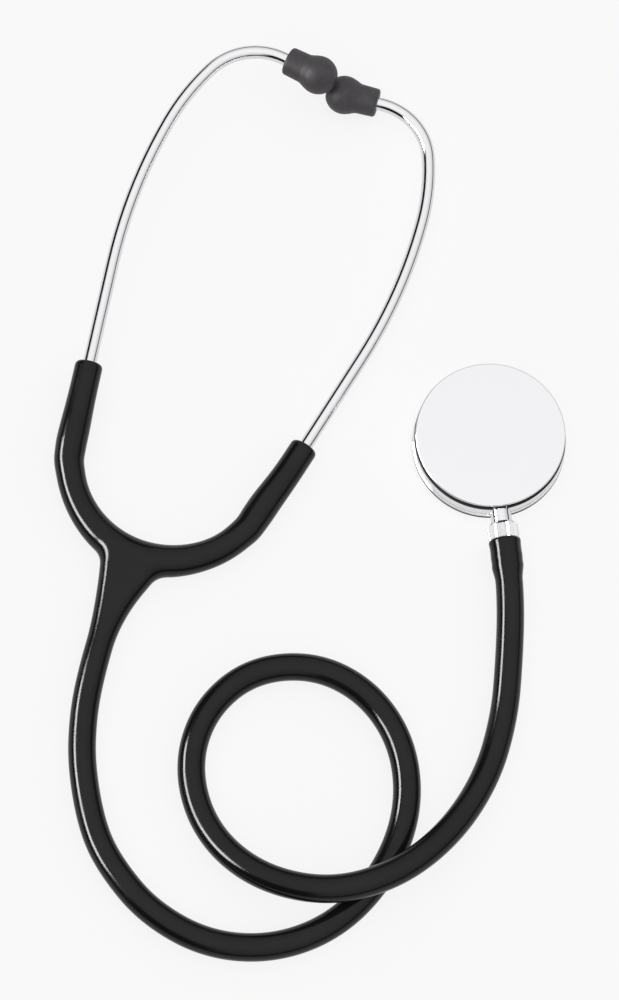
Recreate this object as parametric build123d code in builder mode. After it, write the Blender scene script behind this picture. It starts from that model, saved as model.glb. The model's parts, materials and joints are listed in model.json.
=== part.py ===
from build123d import *
from math import atan2, cos, degrees, pi, radians, sin, sqrt, tan
import os

# Lengths in millimetres, angles in degrees. The chest piece stands on its
# ring at the origin, +Z up, with its stem pointing along -Y.

# Chest piece
drum_radius = 25.0
drum_height = 9.25
groove_depth = 1.6
groove_height = 2.3
cover_step = 0.3
cover_thickness = 0.8
cover_spigot_step = 5.0
cover_spigot_depth = 1.2
ring_proud = 0.4
ring_height = 2.3
ring_lip_thickness = 0.6
ring_lip_width = 2.9
thread_depth = 0.75
thread_clearance = 0.05
diaphragm_thickness = 0.35
gasket_width = 1.5
gasket_thickness = 0.5
bell_rim_width = 3.2
bell_depth = 1.9
bell_wall = 0.5
edge_break = 0.3

# Stem and swivel
stem_height = 5.9
stem_radius = 3.45
stem_show = 4.1
stem_seat_depth = 0.8
stem_spigot_radius = 2.5
stem_spigot_length = 12.2
sound_radius = 1.4
journal_radius = 2.6
journal_length = 4.2
swivel_clearance = 0.03
swivel_end_gap = 0.1
seal_groove_radius = 2.0
seal_groove_width = 0.9
seal_groove_start = 1.2
clip_groove_radius = 2.1
clip_groove_start = 3.1
clip_thickness = 0.5
clip_radius = 3.2
clip_clearance = 0.05
clip_opening_angle = 70.0

# Knurled collar
collar_radius = 5.0
collar_length = 5.8
collar_front_chamfer = 1.1
collar_back_chamfer = 0.3
pocket_radius = 3.7
knurl_count = 58
knurl_depth = 0.24

# Hose barb, and the end of the hose that is stretched over it
barb_flange_length = 1.4
barb_shank_radius = 2.8
barb_ridge_radius = 3.4
barb_ridge_pitch = 3.6
barb_ridges = 3
barb_ridge_slope = 2.7
barb_tip_radius = 2.3
cuff_radius = 5.2
cuff_length = 14.0
cuff_taper = 4.5

# Hose
hose_radius = 4.5
hose_bore_radius = 2.25
hose_height = 4.6

# Yoke, moulded in one with the hose's wall
crotch_x = -120.7
crotch_y = -24.2
yoke_height = 5.0
yoke_heading_angle = 28.5
yoke_stem_straight = 12.0
yoke_stem_radius = 176.0
yoke_stem_turn_angle = 6.8
web_spread = 7.5
web_swell = 0.2
web_power = 1.8
web_sections = 6
arm_radius = 5.0
arm_mouth_radius = 4.6
arm_bend_radius = 34.5
arm_lean_angle = 10.0
arm_straight_length = 26.4
arm_rim = 0.9
arm_bore_radius = 2.0
arm_bore_overlap = 0.01
left_lift_angle = 3.5
right_lift_angle = 0.5

# Leaf spring in the yoke
leaf_thickness = 0.7
leaf_width = 4.0
leaf_offset = 3.35
leaf_tail = 13.0
clamp_wall = 0.5
clamp_start = 2.0
clamp_length = 10.0
fit_clearance = 0.05

# Ear tubes
tube_radius = 2.25
tube_wall = 0.6
tube_start = 1.0
tube_straight_length = 62.0
tube_sweep_radius = 180.0
tube_sweep_angle = 17.0
tube_shoulder_radius = 80.0
tube_shoulder_angle = 17.0
tip_rake_angle = 6.0
tube_lead_length = 2.7
tip_aside = 4.7

# Eartips and their nipples
tip_ball_radius = 6.4
tip_ball_offset = 10.6
tip_neck_radius = 5.1
tip_waist_radius = 4.7
tip_waist_offset = 5.6
tip_end_rounding = 1.6
tip_bore_radius = 1.5
nipple_start = 1.6
nipple_length = 5.9
nipple_radius = 2.8
nipple_ridge_radius = 3.2
nipple_ridges = 2
nipple_ridge_slope = 1.4

# What follows from those sizes
cover_radius = drum_radius - cover_step
cover_spigot_radius = drum_radius - cover_spigot_step
ring_radius = drum_radius + ring_proud
thread_radius = drum_radius - thread_depth
bell_radius = drum_radius - bell_rim_width
diaphragm_low = ring_lip_thickness
diaphragm_radius = thread_radius - thread_clearance
gasket_low = diaphragm_low + diaphragm_thickness
drum_low = gasket_low + gasket_thickness
drum_high = drum_low + drum_height
groove_low = drum_high - groove_height
stem_seat = drum_radius - stem_seat_depth
stem_inner = stem_seat - stem_spigot_length
shank_end = drum_radius + stem_show
journal_end = shank_end + journal_length
seal_section = (journal_radius - seal_groove_radius) / 2
collar_start = shank_end + swivel_end_gap
collar_end = collar_start + collar_length
pocket_start = shank_end + clip_groove_start - clip_clearance
barb_flange_start = collar_end - barb_flange_length
barb_end = collar_end + barb_ridges * barb_ridge_pitch + barb_ridge_pitch / 2
cuff_end = collar_end + cuff_length
tube_bore_radius = tube_radius - tube_wall
nipple_end = nipple_start + nipple_length
nipple_ridge_pitch = nipple_length / (nipple_ridges + 1)
seal_low = shank_end + seal_groove_start
clip_low = shank_end + clip_groove_start
clip_high = clip_low + clip_thickness + clip_clearance
saddle_height = leaf_offset - leaf_thickness / 2
ball_mouth = tip_ball_offset + sqrt(tip_ball_radius**2 - tip_bore_radius**2)
arm_turn_angle = 90 - arm_lean_angle
arm_taper_angle = degrees(atan2(arm_radius - arm_mouth_radius, arm_straight_length))
swept_angle = tube_sweep_angle - arm_lean_angle
shoulder_end_angle = swept_angle + tube_shoulder_angle
tip_end_angle = 90 + tip_rake_angle

# Each ear tube's last bend is as wide as brings its eartip to its place beside
# the headset's middle, where the two eartips all but touch
widest_reach = (
    arm_bend_radius * sin(radians(arm_turn_angle))
    + tube_straight_length * sin(radians(arm_lean_angle))
    + tube_sweep_radius * (cos(radians(swept_angle)) - cos(radians(arm_lean_angle)))
)
last_reach = tip_aside + (tube_lead_length + tip_ball_offset) * sin(radians(tip_end_angle))
shoulder_drop = tube_shoulder_radius * (cos(radians(swept_angle)) - cos(radians(shoulder_end_angle)))
bend_drop_share = cos(radians(shoulder_end_angle)) - cos(radians(tip_end_angle))
tube_bend_radius = (widest_reach - shoulder_drop - last_reach) / bend_drop_share

# The hose's route on the table: after its lead out of the yoke and before its
# lead into the cuff, the points are chosen by eye, and the two at the hump's
# top stand either side of the place where the hose crosses itself
hump_height = 22.6
shoulder_height = hose_height + 9.0
foot_height = hose_height + 1.0
yoke_lead = 10.0
cuff_lead = 8.0
corner_share = 0.45
route = [
    (-143.0, -76.5, hose_height),
    (-145.2, -92.5, hose_height),
    (-143.8, -113.0, hose_height),
    (-139.0, -126.5, hose_height),
    (-128.5, -142.5, hose_height),
    (-111.0, -155.0, hose_height),
    (-90.0, -158.7, hose_height),
    (-69.5, -153.2, hose_height),
    (-52.7, -138.8, hose_height),
    (-42.5, -119.3, hose_height),
    (-41.8, -98.0, hose_height),
    (-50.7, -79.8, hose_height),
    (-67.0, -68.6, hose_height),
    (-87.9, -68.1, hose_height),
    (-104.3, -79.6, hose_height),
    (-111.7, -98.0, hose_height),
    (-108.0, -119.0, foot_height),
    (-93.8, -136.9, shoulder_height),
    (-72.1, -147.2, hump_height),
    (-50.0, -144.2, hump_height),
    (-31.1, -131.3, shoulder_height),
    (-16.6, -112.6, foot_height),
    (-8.2, -93.3, hose_height),
    (-4.4, -75.5, hose_height + 0.6),
]

os.makedirs("parts", exist_ok=True)

# The stem's axis points out of the chest piece; a profile drawn on stem_side
# has its distance from the chest piece's centre as x and its radius as y
stem_side = Plane(origin=(0, 0, stem_height), x_dir=(0, -1, 0), z_dir=(-1, 0, 0))
stem_axis = Axis((0, 0, stem_height), (0, -1, 0))


def stem_section(distance):
    """The plane across the stem's axis at a distance from the chest piece's centre."""
    return Plane(origin=(0, -distance, stem_height), x_dir=(1, 0, 0), z_dir=(0, -1, 0))


def outline(*corners):
    """A face through the corners, in the sketch that is open."""
    Polygon(*corners, align=None)


# The headset's plane has x from the yoke's crotch towards the eartips and y to
# the wearer's left; each side is lifted a little off the table about that y
headset = Plane(
    origin=(crotch_x, crotch_y, yoke_height),
    x_dir=(sin(radians(yoke_heading_angle)), cos(radians(yoke_heading_angle)), 0),
    z_dir=(0, 0, 1),
)
sides = {"left": 1, "right": -1}


def lifted(angle):
    """The headset's plane turned about its y, so that its x rises off the table."""
    rise, level = sin(radians(angle)), cos(radians(angle))
    return Plane(
        origin=headset.origin,
        x_dir=headset.x_dir * level + headset.z_dir * rise,
        z_dir=headset.z_dir * level - headset.x_dir * rise,
    )


side_plane = {"left": lifted(left_lift_angle), "right": lifted(right_lift_angle)}

# The yoke's stem runs straight from the crotch and then follows the hose's curve
with BuildLine(headset) as yoke_stem:
    stem_run = Line((0, 0), (-yoke_stem_straight, 0))
    JernArc(stem_run @ 1, (-1, 0), yoke_stem_radius, yoke_stem_turn_angle)
stem_line = yoke_stem.wire()
stem_end = stem_line @ 1
stem_heading = stem_line % 1


def arm_section(name, distance):
    """The plane across an arm, a distance past its bend, with x towards the yoke's inside."""
    side, plane = sides[name], side_plane[name]
    turn, lean = radians(arm_turn_angle), radians(arm_lean_angle)
    along = arm_bend_radius * (1 - cos(turn)) + distance * cos(lean)
    out = arm_bend_radius * sin(turn) + distance * sin(lean)
    origin = plane.from_local_coords((along, side * out, 0))
    ahead = plane.from_local_coords((along + cos(lean), side * (out + sin(lean)), 0))
    inward = plane.from_local_coords((along + sin(lean), side * (out - cos(lean)), 0))
    return Plane(origin=origin, x_dir=inward - origin, z_dir=ahead - origin)


def arm_route(name, radius, straight=0):
    """A line from the crotch round an arm's bend and on, at a radius from the bend's centre."""
    with BuildLine(side_plane[name]) as line:
        bend = CenterArc((arm_bend_radius, 0), radius, 180, -sides[name] * arm_turn_angle)
        if straight:
            PolarLine(bend @ 1, straight, direction=bend % 1)
    return line.wire()


def ear_tube_route(name):
    """An ear tube's centre line, from inside the yoke to the nipple's end."""
    side, start = sides[name], arm_section(name, tube_start)
    begin = side_plane[name].to_local_coords(start.origin)
    with BuildLine(side_plane[name]) as line:
        lead = PolarLine(
            (begin.X, begin.Y), tube_straight_length - tube_start, angle=side * arm_lean_angle
        )
        sweep_arc = JernArc(
            lead @ 1, lead % 1, tube_sweep_radius, -side * tube_sweep_angle
        )
        shoulder = JernArc(
            sweep_arc @ 1, sweep_arc % 1, tube_shoulder_radius, -side * tube_shoulder_angle
        )
        bend = JernArc(
            shoulder @ 1, shoulder % 1, tube_bend_radius, -side * (tip_end_angle - shoulder_end_angle)
        )
        PolarLine(bend @ 1, tube_lead_length + nipple_end, direction=bend % 1)
    return line.wire()


def tip_side(name):
    """The plane through an eartip's axis, with x from its neck's end outwards."""
    centre_line = ear_tube_route(name)
    heading = centre_line % 1
    origin = centre_line @ 1 - heading * nipple_end
    return Plane(origin=origin, x_dir=heading, z_dir=side_plane[name].z_dir)


def rims(piece, radius):
    """The round edges of a piece that have about that radius or more."""
    return piece.edges().filter_by(
        lambda edge: edge.geom_type == GeomType.CIRCLE and edge.radius > radius - edge_break
    )


# Chest piece: diaphragm ring, diaphragm, gasket, drum and cover
with BuildPart() as diaphragm_ring:
    with BuildSketch(Plane.XZ):
        outline(
            (ring_radius - ring_lip_width, 0),
            (ring_radius, 0),
            (ring_radius, ring_height),
            (thread_radius + thread_clearance, ring_height),
            (thread_radius + thread_clearance, ring_lip_thickness),
            (ring_radius - ring_lip_width, ring_lip_thickness),
        )
    revolve(axis=Axis.Z)
    fillet(rims(diaphragm_ring, ring_radius), edge_break)

with BuildPart() as diaphragm:
    with BuildSketch(Plane.XY.offset(diaphragm_low)):
        Circle(diaphragm_radius)
    extrude(amount=diaphragm_thickness)

with BuildPart() as diaphragm_gasket:
    with BuildSketch(Plane.XY.offset(gasket_low)):
        Circle(diaphragm_radius)
        Circle(diaphragm_radius - gasket_width, mode=Mode.SUBTRACT)
    extrude(amount=gasket_thickness)

with BuildPart() as head_drum:
    with BuildSketch(Plane.XZ):
        outline(
            (0, drum_low),
            (thread_radius, drum_low),
            (thread_radius, ring_height + thread_clearance),
            (drum_radius, ring_height + thread_clearance),
            (drum_radius, groove_low),
            (drum_radius - groove_depth, groove_low),
            (drum_radius - groove_depth, drum_high),
            (0, drum_high),
        )
    revolve(axis=Axis.Z)
    chamfer(rims(head_drum, drum_radius).sort_by(Axis.Z)[-1], edge_break)
    with BuildSketch(Plane.XZ):
        with BuildLine():
            Polyline(
                (0, drum_low),
                (bell_radius, drum_low),
                (bell_radius, drum_low + bell_wall),
                (sound_radius, drum_low + bell_depth),
                (sound_radius, stem_height + sound_radius),
                (0, stem_height + sound_radius),
                close=True,
            )
        make_face()
    revolve(axis=Axis.Z, mode=Mode.SUBTRACT)
    with BuildSketch(Plane.XY.offset(drum_high)):
        Circle(cover_spigot_radius)
    extrude(amount=-cover_spigot_depth, mode=Mode.SUBTRACT)
    with BuildSketch(stem_section(0)):
        Circle(sound_radius)
    extrude(amount=stem_inner, mode=Mode.SUBTRACT)
    with BuildSketch(stem_section(stem_inner)):
        Circle(stem_spigot_radius)
    extrude(amount=stem_spigot_length, mode=Mode.SUBTRACT)
    with BuildSketch(stem_section(stem_seat)):
        Circle(stem_radius)
    extrude(amount=stem_show, mode=Mode.SUBTRACT)

with BuildPart() as head_cover:
    with BuildSketch(Plane.XZ):
        outline(
            (0, drum_high - cover_spigot_depth),
            (cover_spigot_radius, drum_high - cover_spigot_depth),
            (cover_spigot_radius, drum_high),
            (cover_radius, drum_high),
            (cover_radius, drum_high + cover_thickness),
            (0, drum_high + cover_thickness),
        )
    revolve(axis=Axis.Z)
    fillet(rims(head_cover, cover_radius), edge_break)

# Stem: spigot in the drum, shank, and the journal that the collar turns on
with BuildPart() as stem:
    with BuildSketch(stem_side):
        outline(
            (stem_inner, sound_radius),
            (stem_inner, stem_spigot_radius),
            (stem_seat, stem_spigot_radius),
            (stem_seat, stem_radius),
            (shank_end, stem_radius),
            (shank_end, journal_radius),
            (seal_low, journal_radius),
            (seal_low, seal_groove_radius),
            (seal_low + seal_groove_width, seal_groove_radius),
            (seal_low + seal_groove_width, journal_radius),
            (clip_low, journal_radius),
            (clip_low, clip_groove_radius),
            (clip_high, clip_groove_radius),
            (clip_high, journal_radius),
            (journal_end, journal_radius),
            (journal_end, sound_radius),
        )
    revolve(axis=stem_axis)

with BuildPart() as stem_seal:
    with BuildSketch(stem_side):
        with Locations((seal_low + seal_groove_width / 2, seal_groove_radius + seal_section)):
            Circle(seal_section)
    revolve(axis=stem_axis)

with BuildPart() as stem_clip:
    with BuildSketch(stem_section(clip_low + clip_clearance / 2)):
        Circle(clip_radius)
        Circle(clip_groove_radius, mode=Mode.SUBTRACT)
        with BuildLine():
            gap_side = 2 * clip_radius * sin(radians(clip_opening_angle / 2))
            gap_end = 2 * clip_radius * cos(radians(clip_opening_angle / 2))
            Polyline((0, 0), (gap_side, gap_end), (-gap_side, gap_end), close=True)
        make_face(mode=Mode.SUBTRACT)
    extrude(amount=clip_thickness)

with BuildPart() as knurled_collar:
    with BuildSketch(stem_side):
        outline(
            (collar_start, journal_radius + swivel_clearance),
            (collar_start, collar_radius - collar_front_chamfer),
            (collar_start + collar_front_chamfer, collar_radius),
            (collar_end - collar_back_chamfer, collar_radius),
            (collar_end, collar_radius - collar_back_chamfer),
            (collar_end, pocket_radius),
            (pocket_start, pocket_radius),
            (pocket_start, journal_radius + swivel_clearance),
        )
    revolve(axis=stem_axis)
    with BuildSketch(stem_section(collar_start)):
        with PolarLocations(collar_radius, knurl_count):
            RegularPolygon(knurl_depth, 4)
    extrude(amount=collar_length, mode=Mode.SUBTRACT)

with BuildPart() as hose_barb:
    ridge_corners = []
    for ridge in range(barb_ridges):
        ridge_start = collar_end + ridge * barb_ridge_pitch + barb_ridge_pitch / 2
        ridge_corners.append((ridge_start, barb_shank_radius))
        ridge_corners.append((ridge_start, barb_ridge_radius))
        ridge_corners.append((ridge_start + barb_ridge_slope, barb_shank_radius))
    with BuildSketch(stem_side):
        outline(
            (barb_flange_start, sound_radius),
            (barb_flange_start, pocket_radius),
            (collar_end, pocket_radius),
            (collar_end, barb_shank_radius),
            *ridge_corners,
            (barb_end, barb_tip_radius),
            (barb_end, sound_radius),
        )
    revolve(axis=stem_axis)

with BuildPart() as hose_cuff:
    with BuildSketch(stem_side):
        outline(
            (collar_end, 0),
            (collar_end, cuff_radius),
            (cuff_end - cuff_taper, cuff_radius),
            (cuff_end, hose_radius),
            (cuff_end, 0),
        )
    revolve(axis=stem_axis)
    fillet(rims(hose_cuff, cuff_radius).sort_by(Axis.Y)[-1], edge_break)
    with BuildSketch(stem_section(collar_end)):
        Circle(hose_bore_radius)
    extrude(amount=cuff_length, mode=Mode.SUBTRACT)
    add(hose_barb.part, mode=Mode.SUBTRACT)

# Leaf spring: one strip, bent round inside the yoke from arm to arm
with BuildPart() as leaf_spring:
    for name in sides:
        centre_line = arm_route(name, arm_bend_radius - leaf_offset, leaf_tail)
        leaf_section = Plane(centre_line @ 0, x_dir=side_plane[name].x_dir, z_dir=centre_line % 0)
        with BuildSketch(leaf_section):
            Rectangle(leaf_thickness, leaf_width)
        sweep(path=centre_line)


def clamp_solid(name, clearance):
    """A sleeve round the ear tube with a flat saddle for the leaf spring's tail."""
    with BuildPart() as clamp:
        with BuildSketch(arm_section(name, clamp_start - clearance)):
            Circle(tube_radius + clamp_wall + clearance)
            with Locations((saddle_height / 2, 0)):
                Rectangle(saddle_height, leaf_width + 2 * clearance)
            if not clearance:
                Circle(tube_radius, mode=Mode.SUBTRACT)
        extrude(amount=clamp_length + 2 * clearance)
    return clamp.part


# Headset sides: ear tubes, clamps, nipples and eartips
side_parts = {}
for name in sides:
    centre_line = ear_tube_route(name)
    axis_plane = tip_side(name)
    tip_axis = Axis(axis_plane.origin, axis_plane.x_dir)

    with BuildPart() as ear_tube:
        with BuildSketch(Plane(centre_line @ 0, z_dir=centre_line % 0)):
            Circle(tube_radius)
            Circle(tube_bore_radius, mode=Mode.SUBTRACT)
        sweep(path=centre_line)

    with BuildPart() as spring_clamp:
        add(clamp_solid(name, 0))

    ridges = []
    for ridge in range(nipple_ridges):
        ridge_start = nipple_end - nipple_ridge_slope - ridge * nipple_ridge_pitch
        ridges = [
            (ridge_start, nipple_radius),
            (ridge_start, nipple_ridge_radius),
            (ridge_start + nipple_ridge_slope, nipple_radius),
            *ridges,
        ]
    with BuildPart() as tip_nipple:
        with BuildSketch(axis_plane):
            outline(
                (nipple_start, tube_radius),
                (nipple_start, nipple_radius),
                *ridges,
                (nipple_end, tube_radius),
            )
        revolve(axis=tip_axis)

    with BuildPart() as eartip:
        with BuildSketch(axis_plane):
            with BuildLine():
                neck_end = Line(
                    (0, tube_radius + fit_clearance),
                    (0, tip_neck_radius - tip_end_rounding),
                )
                lip = JernArc(neck_end @ 1, (0, 1), tip_end_rounding, -90)
                neck = Line(lip @ 1, (tip_waist_offset, tip_waist_radius))
                ball = ThreePointArc(
                    neck @ 1,
                    (tip_ball_offset, tip_ball_radius),
                    (ball_mouth, tip_bore_radius),
                )
                Polyline(
                    ball @ 1,
                    (nipple_end + fit_clearance, tip_bore_radius),
                    (nipple_end + fit_clearance, nipple_ridge_radius + fit_clearance),
                    (nipple_start - fit_clearance, nipple_ridge_radius + fit_clearance),
                    (nipple_start - fit_clearance, tube_radius + fit_clearance),
                    neck_end @ 0,
                )
            make_face()
        revolve(axis=tip_axis)
    side_parts[f"{name}_ear_tube"] = ear_tube
    side_parts[f"{name}_spring_clamp"] = spring_clamp
    side_parts[f"{name}_tip_nipple"] = tip_nipple
    side_parts[f"{name}_eartip"] = eartip

# Yoke: a flared stem and two arms round a forked bore
with BuildPart() as yoke:
    for step in range(web_sections + 1):
        share = step / web_sections
        forward = -(stem_line % (1 - share))
        aside = headset.z_dir.cross(forward)
        with BuildSketch(Plane(stem_line @ (1 - share), x_dir=aside, z_dir=forward)):
            Ellipse(hose_radius + web_spread * share**web_power, hose_radius + web_swell * share)
    loft()
    for name in sides:
        centre_line = arm_route(name, arm_bend_radius)
        with BuildSketch(Plane(centre_line @ 0, z_dir=centre_line % 0)):
            Circle(arm_radius)
        sweep(path=centre_line)
        with BuildSketch(arm_section(name, 0)):
            Circle(arm_radius)
        extrude(amount=arm_straight_length, taper=arm_taper_angle)
    for name in sides:
        mouth = arm_section(name, arm_straight_length)
        rim = yoke.edges().filter_by(GeomType.CIRCLE).sort_by_distance(mouth.origin)[0]
        fillet(rim, arm_rim)
    for name in sides:
        bore_line = arm_route(name, arm_bend_radius, tube_start + arm_bore_overlap)
        with BuildSketch(Plane(bore_line @ 0, z_dir=bore_line % 0)):
            Circle(arm_bore_radius)
        sweep(path=bore_line, mode=Mode.SUBTRACT)
        with BuildSketch(arm_section(name, tube_start - fit_clearance)):
            Circle(tube_radius + fit_clearance)
        extrude(amount=arm_straight_length, mode=Mode.SUBTRACT)
        add(clamp_solid(name, fit_clearance), mode=Mode.SUBTRACT)
    with BuildSketch(Plane(stem_line @ 0, z_dir=stem_line % 0)):
        Circle(arm_bore_radius)
    sweep(path=stem_line, mode=Mode.SUBTRACT)
    add(leaf_spring.part, mode=Mode.SUBTRACT)

# Hose: from the yoke's stem round its loop to the cuff on the barb
hose_points = [
    stem_end,
    stem_end + stem_heading * yoke_lead,
    *[Vector(point) for point in route],
    Vector(0, -cuff_end - cuff_lead, stem_height),
    Vector(0, -cuff_end, stem_height),
]
runs = [b - a for a, b in zip(hose_points[:-1], hose_points[1:])]
hose_bends = [
    corner_share * min(a.length, b.length) / tan(radians(a.get_angle(b)) / 2)
    for a, b in zip(runs[:-1], runs[1:])
]
with BuildPart() as hose:
    with BuildLine() as hose_line:
        FilletPolyline(*hose_points, radius=hose_bends)
    with BuildSketch(Plane(hose_line.wire() @ 0, z_dir=hose_line.wire() % 0)):
        Circle(hose_radius)
    sweep(path=hose_line.wire())

hose_length = hose_line.wire().length
section_volume = pi * hose_radius**2 * hose_length
print("hose bend radii", [round(radius, 1) for radius in hose_bends])
print("hose length", round(hose_length, 1), "from the yoke's stem to the cuff")
print("hose volume over section times length", round(hose.part.volume / section_volume, 5))

finished = {
    "diaphragm_ring": diaphragm_ring,
    "diaphragm": diaphragm,
    "diaphragm_gasket": diaphragm_gasket,
    "head_drum": head_drum,
    "head_cover": head_cover,
    "stem": stem,
    "stem_seal": stem_seal,
    "stem_clip": stem_clip,
    "knurled_collar": knurled_collar,
    "hose_barb": hose_barb,
    "hose_cuff": hose_cuff,
    "hose": hose,
    "yoke": yoke,
    "leaf_spring": leaf_spring,
    **side_parts,
}
for name, piece in finished.items():
    piece.part.label = name
    export_step(piece.part, f"parts/{name}.step")
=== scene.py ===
import json
from math import cos, pi, radians, sin

import bmesh
import bpy
import numpy as np
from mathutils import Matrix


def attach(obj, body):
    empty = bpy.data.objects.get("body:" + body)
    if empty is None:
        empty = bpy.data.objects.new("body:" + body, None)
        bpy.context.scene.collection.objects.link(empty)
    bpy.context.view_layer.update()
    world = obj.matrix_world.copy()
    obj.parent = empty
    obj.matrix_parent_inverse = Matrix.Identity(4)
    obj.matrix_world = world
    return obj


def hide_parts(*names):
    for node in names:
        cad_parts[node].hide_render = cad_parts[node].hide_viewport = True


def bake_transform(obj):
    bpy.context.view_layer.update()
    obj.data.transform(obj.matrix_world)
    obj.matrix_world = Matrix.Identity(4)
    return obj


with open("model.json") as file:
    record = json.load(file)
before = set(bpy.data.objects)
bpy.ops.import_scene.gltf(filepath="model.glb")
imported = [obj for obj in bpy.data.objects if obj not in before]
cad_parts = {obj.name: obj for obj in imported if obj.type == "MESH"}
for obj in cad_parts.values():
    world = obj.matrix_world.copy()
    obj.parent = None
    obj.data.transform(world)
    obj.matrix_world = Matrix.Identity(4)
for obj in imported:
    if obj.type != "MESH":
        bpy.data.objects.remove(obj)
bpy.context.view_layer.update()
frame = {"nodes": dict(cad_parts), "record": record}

import openvdb
from mathutils import Vector

# Sizes are in millimetres, turned into metres by MM where they enter Blender
MM = 0.001

# Camera, at the photograph's place above the table
camera_place = (-97.13, -301.93, 956.30)
camera_target = (-61.5, -11.74, 0.0)
camera_lens = 108.76
camera_sensor = 36.0

# Headset: the yoke's crotch, its heading on the table, and how far each side is lifted
crotch = (-120.7, -24.2, 5.0)
yoke_heading = radians(28.5)
left_lift = radians(3.5)
right_lift = radians(0.5)
arm_bend_radius = 34.5
arm_turn = radians(80.0)
arm_straight = 26.4
arm_radius = 4.65
arm_rim = 0.9
stem_straight = 12.0
stem_bend_radius = 176.0
stem_turn = radians(6.8)
stem_length = stem_straight + stem_bend_radius * stem_turn
web_spread = 7.5
web_power = 1.8
web_half_thickness = 4.7
hose_radius = 4.5
tube_radius = 2.25

# Stem axis of the chest piece, and the hose's end on it
stem_height = 5.9
collar_start = 29.2
collar_end = 35.0
cuff_length = 14.0
cuff_radius = 5.15
cuff_aside = 0.45
cuff_lip = 0.55
cuff_lip_swell = 0.14
cuff_ridges = (5.6, 9.2)
cuff_ridge_swell = 0.08
cuff_taper_start = 8.5
cuff_overlap = 0.6
cuff_bore_end = 10.9
barb_hold_radius = 3.45
hose_bore_radius = 2.25
cover_low = 10.7
cover_high = 11.5
cover_radius = 24.7
cover_crown = 0.1
cover_rounding = 0.4
cover_seat_radius = 20.0
cover_seat_depth = 1.2
groove_low = 8.4
groove_radius = 20.5
drum_radius = 25.0
ring_radius = 25.4
# height of the painted contact shadow at the ring's foot
ring_shadow_height = 1.8

# Leaf spring
leaf_offset = 3.35
leaf_tail = 13.0
leaf_half_thickness = 0.35
leaf_half_height = 2.0

# Eartips, measured along their axis from the neck's end in the construction
tip_ball_radius = 6.55
tip_ball_offset = 10.6
tip_neck_start = -1.2
tip_neck_radius = 4.9
tip_neck_flare = 0.03
tip_neck_end = 8.0
tip_neck_rounding = 0.95
tip_neck_blend = 1.4
tip_tube_radius = 2.35
tip_bore_start = 1.55
tip_bore_end = 7.6
tip_bore_radius = 3.25
tip_mouth_start = 16.05
tip_mouth_radius = 1.5
tip_mouth_rounding = 0.65


def point(x, y, z):
    """A place in metres from millimetres."""
    return Vector((x, y, z)) * MM


heading = Vector((sin(yoke_heading), cos(yoke_heading), 0.0))
leftward = Vector((-cos(yoke_heading), sin(yoke_heading), 0.0))


def headset_place(along, left, up=0.0):
    """A point of the headset's own plane, in millimetres of the row's frame."""
    return Vector(crotch) + heading * along + leftward * left + Vector((0, 0, up))


def link(made, name):
    """A mesh or curve as an object in the scene."""
    piece = bpy.data.objects.new(name, made)
    bpy.context.scene.collection.objects.link(piece)
    return piece


def solid_mesh(name, corners, faces, sharp=40.0):
    """A closed mesh from corners in millimetres, smooth but for its sharp edges."""
    mesh = bpy.data.meshes.new(name)
    mesh.from_pydata([tuple(Vector(corner) * MM) for corner in corners], [], faces)
    body = bmesh.new()
    body.from_mesh(mesh)
    bmesh.ops.recalc_face_normals(body, faces=body.faces)
    for face in body.faces:
        face.smooth = True
    body.to_mesh(mesh)
    body.free()
    mesh.set_sharp_from_angle(angle=radians(sharp))
    return link(mesh, name)


def lathe(name, origin, axis, profile, turns=128, closed=False):
    """A piece turned about an axis, from its (along, radius) pairs."""
    axis = Vector(axis).normalized()
    across = axis.orthogonal().normalized()
    other = axis.cross(across)
    corners, rows = [], []
    for along, radius in profile:
        count = turns if radius > 0 else 1
        rows.append(range(len(corners), len(corners) + count))
        for step in range(count):
            angle = 2 * pi * step / turns
            out = across * cos(angle) + other * sin(angle)
            corners.append(Vector(origin) + axis * along + out * radius)
    faces = []
    for low, high in zip(rows, [*rows[1:], *(rows[:1] if closed else [])]):
        for step in range(turns):
            after = (step + 1) % turns
            ring = ((low, step), (low, after), (high, after), (high, step))
            ends = [row[turn % len(row)] for row, turn in ring]
            faces.append(list(dict.fromkeys(ends)))
    return solid_mesh(name, corners, faces)


def rounding(along, radius, reach, start, finish, steps=8):
    """Profile points on an arc about (along, radius), between two angles in degrees."""
    angles = [radians(start + (finish - start) * step / steps) for step in range(steps + 1)]
    return [(along + reach * cos(angle), radius + reach * sin(angle)) for angle in angles]


def paint(piece, finish):
    """One material on a piece, in place of what it had."""
    piece.data.materials.clear()
    piece.data.materials.append(finish)


# Materials
def new_finish(name, color, metallic, roughness):
    """A material with its plain values set on the shader, and the shader's node."""
    made = bpy.data.materials.new(name)
    made.use_nodes = True
    surface = made.node_tree.nodes["Principled BSDF"]
    surface.inputs["Base Color"].default_value = (*color, 1.0)
    surface.inputs["Metallic"].default_value = metallic
    surface.inputs["Roughness"].default_value = roughness
    return made, surface


def noise_of(finish, scale, detail=3.0, stretch=(1.0, 1.0, 1.0)):
    """A noise over the object's own places, scale in turns per metre."""
    nodes, links = finish.node_tree.nodes, finish.node_tree.links
    place = nodes.new("ShaderNodeTexCoord")
    mapping = nodes.new("ShaderNodeMapping")
    mapping.inputs["Scale"].default_value = stretch
    noise = nodes.new("ShaderNodeTexNoise")
    noise.inputs["Scale"].default_value = scale
    noise.inputs["Detail"].default_value = detail
    links.new(place.outputs["Object"], mapping.inputs["Vector"])
    links.new(mapping.outputs["Vector"], noise.inputs["Vector"])
    return noise


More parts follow.
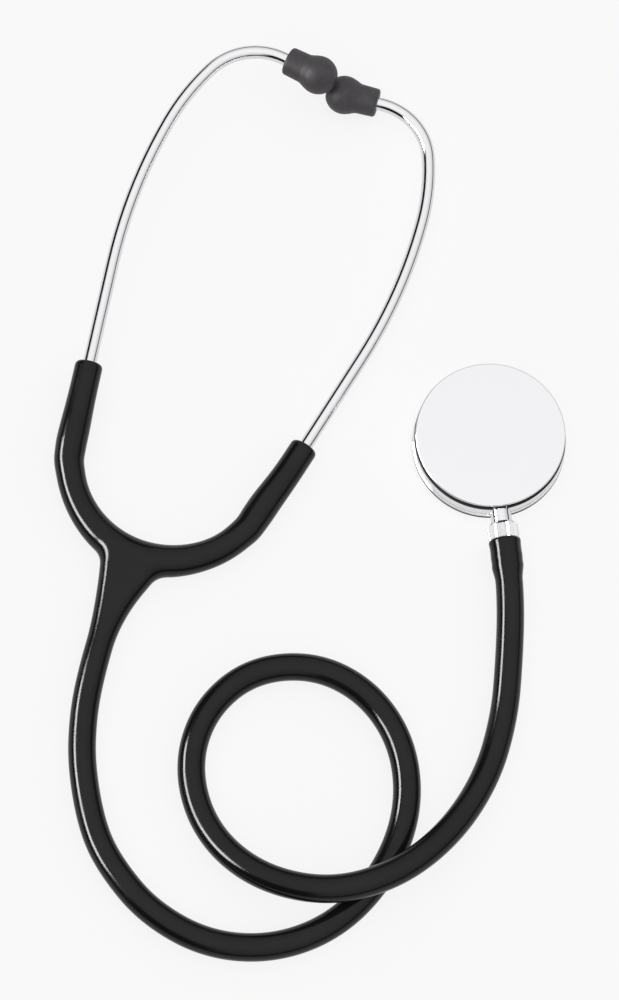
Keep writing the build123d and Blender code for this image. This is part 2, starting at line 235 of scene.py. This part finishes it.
def vary_roughness(finish, surface, noise, low, high):
    """Roughness that runs from low to high with a noise."""
    nodes, links = finish.node_tree.nodes, finish.node_tree.links
    spread = nodes.new("ShaderNodeMapRange")
    spread.inputs["From Min"].default_value = 0.35
    spread.inputs["From Max"].default_value = 0.65
    spread.inputs["To Min"].default_value = low
    spread.inputs["To Max"].default_value = high
    links.new(noise.outputs["Fac"], spread.inputs["Value"])
    links.new(spread.outputs["Result"], surface.inputs["Roughness"])


def vary_color(finish, surface, noise, dark, light):
    """Colour that runs from dark to light with a noise."""
    nodes, links = finish.node_tree.nodes, finish.node_tree.links
    ramp = nodes.new("ShaderNodeValToRGB")
    ramp.color_ramp.elements[0].position = 0.3
    ramp.color_ramp.elements[0].color = (*dark, 1.0)
    ramp.color_ramp.elements[1].position = 0.7
    ramp.color_ramp.elements[1].color = (*light, 1.0)
    links.new(noise.outputs["Fac"], ramp.inputs["Fac"])
    links.new(ramp.outputs["Color"], surface.inputs["Base Color"])


def add_bump(finish, surface, noise, depth):
    """A bump from a noise, with its depth in millimetres, on top of any there already."""
    nodes, links = finish.node_tree.nodes, finish.node_tree.links
    bump = nodes.new("ShaderNodeBump")
    bump.inputs["Strength"].default_value = 1.0
    bump.inputs["Distance"].default_value = depth * MM
    links.new(noise.outputs["Fac"], bump.inputs["Height"])
    before = surface.inputs["Normal"].links
    if before:
        links.new(before[0].from_socket, bump.inputs["Normal"])
    links.new(bump.outputs["Normal"], surface.inputs["Normal"])


def paint_shade_black(finish, surface, low, high, inner, outer):
    """Painted shade: black where a point's height and its distance from the chest piece's axis lie
    between limits.
    """
    nodes, links = finish.node_tree.nodes, finish.node_tree.links
    place = nodes.new("ShaderNodeTexCoord")
    split = nodes.new("ShaderNodeSeparateXYZ")
    flat = nodes.new("ShaderNodeVectorMath")
    flat.operation = "MULTIPLY"
    flat.inputs[1].default_value = (1, 1, 0)
    length = nodes.new("ShaderNodeVectorMath")
    length.operation = "LENGTH"
    links.new(place.outputs["Object"], split.inputs["Vector"])
    links.new(place.outputs["Object"], flat.inputs[0])
    links.new(flat.outputs["Vector"], length.inputs[0])
    inside = None
    for source, limit, over in (
        (split.outputs["Z"], low, True),
        (split.outputs["Z"], high, False),
        (length.outputs["Value"], inner, True),
        (length.outputs["Value"], outer, False),
    ):
        test = nodes.new("ShaderNodeMath")
        test.operation = "GREATER_THAN" if over else "LESS_THAN"
        test.inputs[1].default_value = limit * MM
        links.new(source, test.inputs[0])
        if inside is None:
            inside = test.outputs["Value"]
            continue
        both = nodes.new("ShaderNodeMath")
        both.operation = "MULTIPLY"
        links.new(inside, both.inputs[0])
        links.new(test.outputs["Value"], both.inputs[1])
        inside = both.outputs["Value"]
    black = nodes.new("ShaderNodeBsdfPrincipled")
    black.inputs["Base Color"].default_value = (0.01, 0.01, 0.01, 1)
    black.inputs["Roughness"].default_value = 0.6
    mix = nodes.new("ShaderNodeMixShader")
    links.new(inside, mix.inputs["Fac"])
    links.new(surface.outputs["BSDF"], mix.inputs[1])
    links.new(black.outputs["BSDF"], mix.inputs[2])
    links.new(mix.outputs["Shader"], nodes["Material Output"].inputs["Surface"])


def vinyl_finish():
    """Glossy black vinyl, a little uneven, with faint handling marks."""
    made, surface = new_finish("black_vinyl", (0.011, 0.010, 0.011), 0.0, 0.14)
    surface.inputs["Specular IOR Level"].default_value = 0.26
    vary_color(made, surface, noise_of(made, 60.0), (0.009, 0.008, 0.009), (0.013, 0.012, 0.013))
    vary_roughness(made, surface, noise_of(made, 90.0, 5.0), 0.12, 0.18)
    add_bump(made, surface, noise_of(made, 130.0, 1.0), 0.03)
    add_bump(made, surface, noise_of(made, 1500.0, 2.0), 0.001)
    return made


def chrome_finish(name, color, low, high, dark=()):
    """Polished plating with fine wiping marks, and perhaps a black band of painted shade."""
    made, surface = new_finish(name, color, 1.0, low)
    vary_roughness(made, surface, noise_of(made, 400.0, 6.0), low, high)
    add_bump(made, surface, noise_of(made, 160.0, 1.0), 0.004)
    # a black band of painted shade over the plating, where a band is given
    if dark:
        paint_shade_black(made, surface, *dark)
    return made


def steel_finish(name, color, low, high):
    """Satin metal with a fine grain."""
    made, surface = new_finish(name, color, 1.0, low)
    vary_roughness(made, surface, noise_of(made, 300.0, 4.0), low, high)
    add_bump(made, surface, noise_of(made, 700.0, 2.0), 0.0006)
    return made


def rubber_finish(name, color, low, high):
    """Matte soft rubber with a fine grain and a dusty sheen."""
    made, surface = new_finish(name, color, 0.0, low)
    surface.inputs["Specular IOR Level"].default_value = 0.3
    surface.inputs["Sheen Weight"].default_value = 0.1
    surface.inputs["Sheen Roughness"].default_value = 0.5
    darker = [0.85 * part for part in color]
    lighter = [1.15 * part for part in color]
    vary_color(made, surface, noise_of(made, 500.0, 5.0), darker, lighter)
    vary_roughness(made, surface, noise_of(made, 700.0, 5.0), low, high)
    add_bump(made, surface, noise_of(made, 2500.0, 4.0), 0.02)
    return made


def sheet_finish():
    """The diaphragm's pale glass laminate."""
    made, surface = new_finish("laminate", (0.55, 0.53, 0.46), 0.0, 0.35)
    vary_color(made, surface, noise_of(made, 800.0, 6.0), (0.50, 0.48, 0.41), (0.60, 0.58, 0.51))
    add_bump(made, surface, noise_of(made, 2500.0, 3.0), 0.005)
    return made


vinyl = vinyl_finish()
chrome = chrome_finish("chrome", (0.88, 0.88, 0.89), 0.05, 0.10)
tube_chrome = chrome_finish("tube_chrome", (0.88, 0.88, 0.89), 0.04, 0.09)
# Painted shade: the drum's plating is black in the groove under the cover
groove_painted_shade = (groove_low - 0.5, cover_low, groove_radius, drum_radius + 0.1)
drum_chrome_painted_shade = chrome_finish("drum_chrome_painted_shade", (0.88, 0.88, 0.89), 0.05, 0.10, groove_painted_shade)
# Painted shadow: the ring's plating is black along its foot, a contact shadow painted in
ring_painted_shadow_band = (-1.0, ring_shadow_height, ring_radius - 1.0, ring_radius + 1.0)
ring_chrome_painted_shadow = chrome_finish("ring_chrome_painted_shadow", (0.88, 0.88, 0.89), 0.05, 0.10, ring_painted_shadow_band)
satin = steel_finish("satin_steel", (0.89, 0.89, 0.90), 0.14, 0.18)
spring_steel = steel_finish("spring_steel", (0.50, 0.51, 0.53), 0.30, 0.42)
tip_rubber = rubber_finish("tip_rubber", (0.074, 0.067, 0.072), 0.50, 0.62)
seal_rubber = rubber_finish("seal_rubber", (0.03, 0.03, 0.03), 0.5, 0.6)
laminate = sheet_finish()

finishes = {
    "polished_metal": chrome,
    "satin_metal": satin,
    "chromed_tube": tube_chrome,
    "nipple_metal": satin,
    "spring_steel": spring_steel,
    "hose_vinyl": vinyl,
    "eartip_rubber": tip_rubber,
    "seal_rubber": seal_rubber,
    "diaphragm_sheet": laminate,
}
slot_of = {entry["node"]: entry["material_slot"] for entry in frame["record"]["subparts"]}
for node, piece in frame["nodes"].items():
    paint(piece, finishes[slot_of[node]])
# the drum's plating carries painted shade in its groove
paint(frame["nodes"]["head_drum"], drum_chrome_painted_shade)
# the ring's plating carries a painted contact shadow at its foot
paint(frame["nodes"]["diaphragm_ring"], ring_chrome_painted_shadow)

# Hose: the route's points as in the construction, with the crossing lowered
# until the upper strand lies on the lower one
hose_height = 4.6
hump_height = 14.2
yoke_lead = 10.0
cuff_lead = 8.0
stem_end = headset_place(
    -stem_straight - stem_bend_radius * sin(stem_turn), -stem_bend_radius * (1 - cos(stem_turn))
)
stem_heading = -heading * cos(stem_turn) - leftward * sin(stem_turn)
hose_route = [
    tuple(stem_end),
    tuple(stem_end + stem_heading * yoke_lead),
    (-143.0, -76.5, hose_height),
    (-145.2, -92.5, hose_height),
    (-143.8, -113.0, hose_height),
    (-139.0, -126.5, hose_height),
    (-128.5, -142.5, hose_height),
    (-111.0, -155.0, hose_height),
    (-90.0, -158.7, hose_height),
    (-69.5, -153.2, hose_height),
    (-52.7, -138.8, hose_height),
    (-42.5, -119.3, hose_height),
    (-41.8, -98.0, hose_height),
    (-50.7, -79.8, hose_height),
    (-67.0, -68.6, hose_height),
    (-87.9, -68.1, hose_height),
    (-104.3, -79.6, hose_height),
    (-111.7, -98.0, hose_height),
    (-108.0, -119.0, hose_height + 0.5),
    (-93.8, -135.9, hose_height + 5.0),
    (-72.1, -144.7, hump_height),
    (-50.0, -141.7, hump_height),
    (-31.1, -129.9, hose_height + 5.0),
    (-16.6, -112.6, hose_height + 0.5),
    (-8.2, -93.3, hose_height),
    (-4.2, -75.5, hose_height + 0.6),
    (-cuff_aside * (1 + 2 * cuff_lead / cuff_length), -collar_end - cuff_length - cuff_lead, stem_height),
    (-cuff_aside, -collar_end - cuff_length, stem_height),
]


def make_hose():
    """The hose as one smooth spline with a round section."""
    line = bpy.data.curves.new("hose_line", "CURVE")
    line.dimensions = "3D"
    line.bevel_depth = hose_radius * MM
    line.bevel_resolution = 14
    line.resolution_u = 24
    line.use_fill_caps = True
    spline = line.splines.new("NURBS")
    spline.points.add(len(hose_route) - 1)
    for control, place in zip(spline.points, hose_route):
        control.co = (*point(*place), 1.0)
    spline.order_u = 3
    spline.use_endpoint_u = True
    return link(line, "free_hose")


free_hose = make_hose()
paint(free_hose, vinyl)
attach(free_hose, "root")
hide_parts("hose")


# Yoke: one smooth moulding, given as a field of distances in the headset's plane
def smooth_least(a, b, reach):
    """The lesser of two fields, rounded over where they are within reach."""
    near = np.maximum(reach - np.abs(a - b), 0.0) / reach
    return np.minimum(a, b) - near * near * reach / 4


def smooth_most(a, b, reach):
    """The greater of two fields, rounded over where they are within reach."""
    return -smooth_least(-a, -b, reach)


crotch_blend = 2.5
web_blend = 2.0
lift_blend = 12.0
bend_end = (arm_bend_radius * (1 - cos(arm_turn)), arm_bend_radius * sin(arm_turn))
bend_length = arm_bend_radius * arm_turn
arm_length = bend_length + arm_straight

# Swellings along an arm: how much, where along it, and how far they reach
tube_kink, tube_kink_at, tube_kink_reach = 0.25, 40.5, 3.0
root_swell, root_swell_reach = 1.0, 20.0
root_shift, root_shift_reach = 0.8, 18.0
arm_swell, arm_swell_at, arm_swell_reach = 0.5, 48.0, 11.0
right_shift, right_shift_at, right_shift_reach = 1.0, 47.0, 12.0

# The stem's overlap with the hose, the flat that the yoke lies on, and the arms' bores
stem_overlap = 0.6
underside = 4.95
underside_blend = 1.5
bore_depth = 26.0
bore_gap = 0.1


def arm_course(x, y, z):
    """How far along the arm a point lies, and how far out of its centre line, sideways and up."""
    share = np.clip(y / (2 * lift_blend) + 0.5, 0.0, 1.0)
    share = share * share * (3 - 2 * share)
    lift = right_lift + (left_lift - right_lift) * share
    ahead = x * np.cos(lift) + z * np.sin(lift)
    above = z * np.cos(lift) - x * np.sin(lift)
    out = np.abs(y)
    turned = np.arctan2(out, arm_bend_radius - ahead)
    past = (ahead - bend_end[0]) * sin(arm_turn) + (out - bend_end[1]) * cos(arm_turn)
    off_line = (out - bend_end[1]) * sin(arm_turn) - (ahead - bend_end[0]) * cos(arm_turn)
    off_bend = np.hypot(ahead - arm_bend_radius, out) - arm_bend_radius
    on_line = past > 0
    along = np.where(on_line, bend_length + past, arm_bend_radius * np.minimum(turned, arm_turn))
    sideways = np.where(on_line, off_line, off_bend)
    return along, sideways, above


def swelling(along, place, reach):
    """A smooth rise to 1 at a place along a piece."""
    return np.exp(-(((along - place) / reach) ** 2))


def stem_course(x, y):
    """How far down the stem a point lies, and how far beside its centre line."""
    turned = np.arctan2(-stem_straight - x, y + stem_bend_radius)
    off_bend = np.hypot(x + stem_straight, y + stem_bend_radius) - stem_bend_radius
    bent = x < -stem_straight
    return np.where(bent, stem_straight + stem_bend_radius * turned, -x), np.where(bent, off_bend, y)


def yoke_skin(x, y, z):
    """Distance out of the yoke's outside, in millimetres, at points of the headset's plane."""
    along, sideways, above = arm_course(x, y, z)
    radius = arm_radius + root_swell * swelling(along, 0, root_swell_reach)
    radius = radius + arm_swell * swelling(along, arm_swell_at, arm_swell_reach)
    shift = root_shift * swelling(along, 0, root_shift_reach)
    shift = shift + tube_kink * swelling(along, tube_kink_at, tube_kink_reach)
    inward = right_shift * swelling(along, right_shift_at, right_shift_reach)
    shift = np.where(y > 0, shift, shift - inward)
    arms = smooth_most(np.hypot(sideways - shift, above) - radius, along - arm_length, 2 * arm_rim)
    down, beside = stem_course(x, y)
    share = np.clip(1 - down / stem_length, 0.0, 1.3)
    thickness = hose_radius + (web_half_thickness - hose_radius) * np.minimum(share, 1.0)
    width = hose_radius + web_spread * share**web_power
    edge = np.maximum(np.abs(beside) - (width - thickness), 0.0)
    web = smooth_most(np.hypot(edge, z) - thickness, x, web_blend)
    whole = smooth_least(arms, web, crotch_blend)
    return smooth_most(whole, -z - underside, underside_blend)


def yoke_field(x, y, z):
    """The yoke's skin with its stem cut off over the hose and its mouths bored."""
    along, sideways, above = arm_course(x, y, z)
    down, _ = stem_course(x, y)
    bore = np.minimum(tube_radius + bore_gap - np.hypot(sideways, above), along - arm_length + bore_depth)
    return np.maximum(np.maximum(yoke_skin(x, y, z), down - stem_length - stem_overlap), bore)


def field_slope(field, places, step=0.02):
    """The unit direction in which a field grows, at each place."""
    slope = np.zeros_like(places)
    for axis in range(3):
        ahead, behind = places.copy(), places.copy()
        ahead[:, axis] += step
        behind[:, axis] -= step
        slope[:, axis] = (field(*ahead.T) - field(*behind.T)) / (2 * step)
    return slope


def field_surface(field, low, high, step):
    """Points and faces of a field's zero surface between two corners."""
    axes = [np.arange(a, b, step) for a, b in zip(low, high)]
    values = field(*np.meshgrid(*axes, indexing="ij"))
    grid = openvdb.FloatGrid(10.0)
    grid.copyFromArray(values.astype(np.float32))
    places, quads = grid.convertToQuads()
    places = places.astype(float) * step + np.array(low)
    for _ in range(4):
        slope = field_slope(field, places)
        size = np.maximum((slope**2).sum(axis=1), 0.25)
        places -= slope * (np.clip(field(*places.T), -step, step) / size)[:, None]
    return places, quads


yoke_low = (-stem_length - 2.0, -48.0, -6.5)
yoke_high = (arm_length - bend_length + bend_end[0] + 3.0, 48.0, 12.0)
yoke_step = 0.5


def make_yoke_half(name, side, surface):
    """One side of the yoke, cut at the middle and closed there, with the whole surface's normals."""
    places, quads = surface
    mesh = bpy.data.meshes.new(name)
    mesh.from_pydata(places.tolist(), [], quads.tolist())
    half = bmesh.new()
    half.from_mesh(mesh)
    if half.calc_volume(signed=True) < 0:
        bmesh.ops.reverse_faces(half, faces=half.faces)
    cut = bmesh.ops.bisect_plane(
        half,
        geom=half.verts[:] + half.edges[:] + half.faces[:],
        plane_co=(0, 0, 0),
        plane_no=(0, -side, 0),
        clear_outer=True,
        dist=1e-5,
    )
    rim = [item for item in cut["geom_cut"] if isinstance(item, bmesh.types.BMEdge)]
    closing = bmesh.ops.holes_fill(half, edges=rim, sides=0)["faces"]
    for face in half.faces:
        face.smooth = True
    for face in closing:
        face.smooth = False
    half.to_mesh(mesh)
    flat = np.array([not face.use_smooth for face in mesh.polygons])
    half.free()
    local = np.array([corner.co for corner in mesh.vertices])
    outer = stem_course(local[:, 0], local[:, 1])[0] > stem_length - 2.0
    slope = np.where(outer[:, None], field_slope(yoke_skin, local), field_slope(yoke_field, local))
    slope /= np.maximum(np.linalg.norm(slope, axis=1), 1e-9)[:, None]
    turn = np.array([heading, leftward, (0, 0, 1)])
    normals = []
    for face in mesh.polygons:
        for corner in face.vertices:
            own = (0.0, -side, 0.0) if flat[face.index] else slope[corner]
            normals.append(tuple(np.array(own) @ turn))
    world = (local @ turn + np.array(crotch)) * MM
    mesh.vertices.foreach_set("co", world.astype(np.float32).ravel())
    mesh.normals_split_custom_set(normals)
    mesh.update()
    return link(mesh, name)


def bend_with_side(piece):
    """Bake a piece's placement into its mesh."""
    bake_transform(piece)


yoke_surface = field_surface(yoke_field, yoke_low, yoke_high, yoke_step)
for name, side in (("left", 1), ("right", -1)):
    arm = make_yoke_half(f"{name}_yoke_half", side, yoke_surface)
    paint(arm, vinyl)
    bend_with_side(arm)
    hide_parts("yoke")


# Leaf spring: one half for each side of the yoke
def make_leaf_half(name, side, lift):
    """Half of the strip, from the yoke's middle to its tail in the arm."""
    ahead = heading * cos(lift) + Vector((0, 0, 1)) * sin(lift)
    upward = Vector((0, 0, 1)) * cos(lift) - heading * sin(lift)
    stations = [(arm_turn * step / 24, 0.0) for step in range(25)]
    stations += [(arm_turn, leaf_tail * step / 6) for step in range(1, 7)]
    corners = []
    for angle, past in stations:
        out = leftward * (side * sin(angle)) - ahead * cos(angle)
        forward = ahead * sin(angle) + leftward * (side * cos(angle))
        middle = Vector(crotch) + ahead * arm_bend_radius
        middle += out * (arm_bend_radius - leaf_offset) + forward * past
        for across, high in ((-1, -1), (1, -1), (1, 1), (-1, 1)):
            offset = out * (across * leaf_half_thickness) + upward * (high * leaf_half_height)
            corners.append(middle + offset)
    faces = [[0, 1, 2, 3], [len(corners) - 4 + step for step in (3, 2, 1, 0)]]
    for first in range(0, len(corners) - 4, 4):
        for step in range(4):
            after = (step + 1) % 4
            faces.append([first + step, first + after, first + 4 + after, first + 4 + step])
    return solid_mesh(name, corners, faces)


for name, side, lift in (("left", 1, left_lift), ("right", -1, right_lift)):
    leaf = make_leaf_half(f"{name}_leaf_half", side, lift)
    paint(leaf, spring_steel)
    bend_with_side(leaf)
    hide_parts("leaf_spring")

# Eartips: a round-ended neck that eases into the ball, hollow over the nipple
neck_stations = np.linspace(tip_neck_start + 1.3, tip_mouth_start + 0.5, 70)
neck_radii = tip_neck_radius + tip_neck_flare * neck_stations
neck_radii -= 3.0 * np.maximum(neck_stations - tip_neck_end, 0.0)
ball_radii = np.sqrt(np.maximum(tip_ball_radius**2 - (neck_stations - tip_ball_offset) ** 2, 0.0))
tip_radii = smooth_most(neck_radii, ball_radii, tip_neck_blend)
tip_profile = [
    (tip_neck_start, tip_tube_radius),
    *rounding(tip_neck_start + tip_neck_rounding, 3.94, tip_neck_rounding, 180, 90),
    *zip(neck_stations.tolist(), tip_radii.tolist()),
    *rounding(tip_mouth_start, tip_mouth_radius + tip_mouth_rounding, tip_mouth_rounding, 15, -90),
    (tip_bore_end, tip_mouth_radius),
    (tip_bore_end, tip_bore_radius),
    (tip_bore_start, tip_bore_radius),
    (tip_bore_start, tip_tube_radius),
]
for joint in frame["record"]["behaviour"]["joints"]:
    if joint["child"] in ("left_tip", "right_tip"):
        axis = Vector(joint["axis"])
        start = Vector(joint["pos_m"]) / MM - axis * tip_ball_offset
        eartip = lathe(f"{joint['child']}_mushroom", start, axis, tip_profile, closed=True)
        paint(eartip, tip_rubber)
        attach(eartip, joint["child"])
        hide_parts(f"{joint['child'].split('_')[0]}_eartip")

# Hose cuff: a rolled lip, the barb's ridges showing faintly, and an easy taper to the hose
cuff_stations = np.linspace(0.7, cuff_length + cuff_overlap, 60)
eased = np.clip((cuff_stations - cuff_taper_start) / (cuff_length - cuff_taper_start), 0.0, 1.0)
eased = eased * eased * (3 - 2 * eased)
cuff_radii = cuff_radius + (hose_radius + 0.01 - cuff_radius) * eased
cuff_radii += cuff_lip_swell * swelling(cuff_stations, 0.8, 0.9)
for ridge in cuff_ridges:
    cuff_radii += cuff_ridge_swell * swelling(cuff_stations, ridge, 1.0)
cuff_profile = [
    (0.0, barb_hold_radius + 0.3),
    *rounding(cuff_lip, cuff_radius - 0.45, cuff_lip, 180, 95),
    *zip(cuff_stations.tolist(), cuff_radii.tolist()),
    (cuff_length + cuff_overlap, hose_radius - 0.1),
    (cuff_length, hose_bore_radius),
    (cuff_length - 1.3, hose_bore_radius),
    (cuff_bore_end, barb_hold_radius),
    (0.0, barb_hold_radius),
]
rolled_cuff = lathe("rolled_cuff", (0, -collar_end, stem_height), (0, -1, 0), cuff_profile, closed=True)
for corner in rolled_cuff.data.vertices:
    along = -corner.co.y / MM - collar_end
    corner.co.x -= cuff_aside * MM * (along / cuff_length) ** 2
paint(rolled_cuff, vinyl)
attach(rolled_cuff, "root")
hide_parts("hose_cuff")

# Cover: a barely crowned disc with a soft rim
crown_radii = np.linspace(cover_radius - cover_rounding, 0.0, 40)
crown = cover_high + cover_crown * (1 - (crown_radii / crown_radii[0]) ** 2)
cover_profile = [
    (cover_low - cover_seat_depth, 0.0),
    (cover_low - cover_seat_depth, cover_seat_radius),
    (cover_low, cover_seat_radius),
    (cover_low, cover_radius - 0.1),
    (cover_low + 0.1, cover_radius),
    *rounding(cover_high - cover_rounding, cover_radius - cover_rounding, cover_rounding, 90, 0),
    *list(zip(crown.tolist(), crown_radii.tolist()))[1:],
]
top_disc = lathe("top_disc", (0, 0, 0), (0, 0, 1), cover_profile, turns=192)
paint(top_disc, satin)
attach(top_disc, "chest_piece")
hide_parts("head_cover")

# Stage: pale floor, a soft studio room that is dark along its horizon and at its left, one strip lamp
floor_drop = 0.05
room_levels = ((0.20, 0.03), (0.30, 0.55), (0.6, 0.8))
strip_place = (-1300, 110, 730)
strip_target = (-60, 110, 0)
strip_size = (1120, 400)
strip_power = 43.0


def make_floor():
    """A pale table top, white to the camera and to reflections, that keeps the shadows."""
    bpy.ops.mesh.primitive_plane_add(size=6.0, location=(0, 0, -floor_drop * MM))
    floor = bpy.context.object
    floor.name = "floor"
    made, surface = new_finish("floor_paint", (0.93, 0.93, 0.93), 0.0, 0.9)
    surface.inputs["Specular IOR Level"].default_value = 0.0
    nodes, links = made.node_tree.nodes, made.node_tree.links
    rays = nodes.new("ShaderNodeLightPath")
    seen = nodes.new("ShaderNodeMath")
    seen.operation = "MAXIMUM"
    level = nodes.new("ShaderNodeMapRange")
    level.inputs["To Min"].default_value = 0.8
    level.inputs["To Max"].default_value = 1.0
    links.new(rays.outputs["Is Camera Ray"], level.inputs["Value"])
    glow = nodes.new("ShaderNodeEmission")
    links.new(level.outputs["Result"], glow.inputs["Strength"])
    share = nodes.new("ShaderNodeMath")
    share.operation = "MULTIPLY"
    share.inputs[1].default_value = 0.85
    mix = nodes.new("ShaderNodeMixShader")
    links.new(rays.outputs["Is Camera Ray"], seen.inputs[0])
    links.new(rays.outputs["Is Glossy Ray"], seen.inputs[1])
    links.new(seen.outputs["Value"], share.inputs[0])
    links.new(share.outputs["Value"], mix.inputs["Fac"])
    links.new(surface.outputs["BSDF"], mix.inputs[1])
    links.new(glow.outputs["Emission"], mix.inputs[2])
    links.new(mix.outputs["Shader"], nodes["Material Output"].inputs["Surface"])
    paint(floor, made)


def make_world():
    """White to the camera; to all else a soft room, bright above, dark at its horizon and left."""
    world = bpy.data.worlds.new("studio")
    bpy.context.scene.world = world
    world.use_nodes = True
    nodes, links = world.node_tree.nodes, world.node_tree.links
    nodes.clear()
    place = nodes.new("ShaderNodeTexCoord")
    split = nodes.new("ShaderNodeSeparateXYZ")
    ramp = nodes.new("ShaderNodeValToRGB")
    stops = ramp.color_ramp.elements
    stops[0].position = 0.0
    stops[0].color = (0.02, 0.02, 0.02, 1)
    stops[1].position = 1.0
    stops[1].color = (1.03, 1.03, 1.04, 1)
    for position, level in room_levels:
        stop = stops.new(position)
        stop.color = (level, level, level * 1.01, 1)
    room = nodes.new("ShaderNodeBackground")
    white = nodes.new("ShaderNodeBackground")
    white.inputs["Color"].default_value = (1, 1, 1, 1)
    rays = nodes.new("ShaderNodeLightPath")
    mix = nodes.new("ShaderNodeMixShader")
    out = nodes.new("ShaderNodeOutputWorld")
    links.new(place.outputs["Generated"], split.inputs["Vector"])
    links.new(split.outputs["Z"], ramp.inputs["Fac"])
    leftness = nodes.new("ShaderNodeMapRange")
    leftness.inputs["From Min"].default_value = -0.25
    leftness.inputs["From Max"].default_value = -0.45
    links.new(split.outputs["X"], leftness.inputs["Value"])
    lowness = nodes.new("ShaderNodeMapRange")
    lowness.inputs["From Min"].default_value = 0.74
    lowness.inputs["From Max"].default_value = 0.62
    links.new(split.outputs["Z"], lowness.inputs["Value"])
    cover = nodes.new("ShaderNodeMath")
    cover.operation = "MULTIPLY"
    links.new(leftness.outputs["Result"], cover.inputs[0])
    links.new(lowness.outputs["Result"], cover.inputs[1])
    shade = nodes.new("ShaderNodeMix")
    shade.data_type = "RGBA"
    shade.inputs["B"].default_value = (0.01, 0.01, 0.01, 1)
    links.new(cover.outputs["Value"], shade.inputs["Factor"])
    links.new(ramp.outputs["Color"], shade.inputs["A"])
    links.new(shade.outputs["Result"], room.inputs["Color"])
    links.new(rays.outputs["Is Camera Ray"], mix.inputs["Fac"])
    links.new(room.outputs["Background"], mix.inputs[1])
    links.new(white.outputs["Background"], mix.inputs[2])
    links.new(mix.outputs["Shader"], out.inputs["Surface"])


def make_lamp(name, place, target, size, power):
    """A soft rectangular lamp that only gloss shows, in millimetres and watts."""
    lamp = bpy.data.lights.new(name, "AREA")
    lamp.shape = "RECTANGLE"
    lamp.size = size[0] * MM
    lamp.size_y = size[1] * MM
    lamp.energy = power
    stand = link(lamp, name)
    stand.location = point(*place)
    stand.rotation_mode = "QUATERNION"
    stand.rotation_quaternion = (point(*target) - point(*place)).to_track_quat("-Z", "Y")
    stand.visible_diffuse = False
    return stand


def make_camera():
    """The camera at the photograph's angle."""
    lens = bpy.data.cameras.new("camera")
    lens.lens = camera_lens
    lens.sensor_width = camera_sensor
    lens.clip_start, lens.clip_end = 0.01, 20.0
    camera = link(lens, "camera")
    camera.location = point(*camera_place)
    camera.rotation_mode = "QUATERNION"
    camera.rotation_quaternion = (point(*camera_target) - point(*camera_place)).to_track_quat("-Z", "Y")
    bpy.context.scene.camera = camera


make_floor()
make_world()
make_lamp("left_strip", strip_place, strip_target, strip_size, strip_power)
make_camera()
bpy.context.scene.view_settings.view_transform = "Standard"
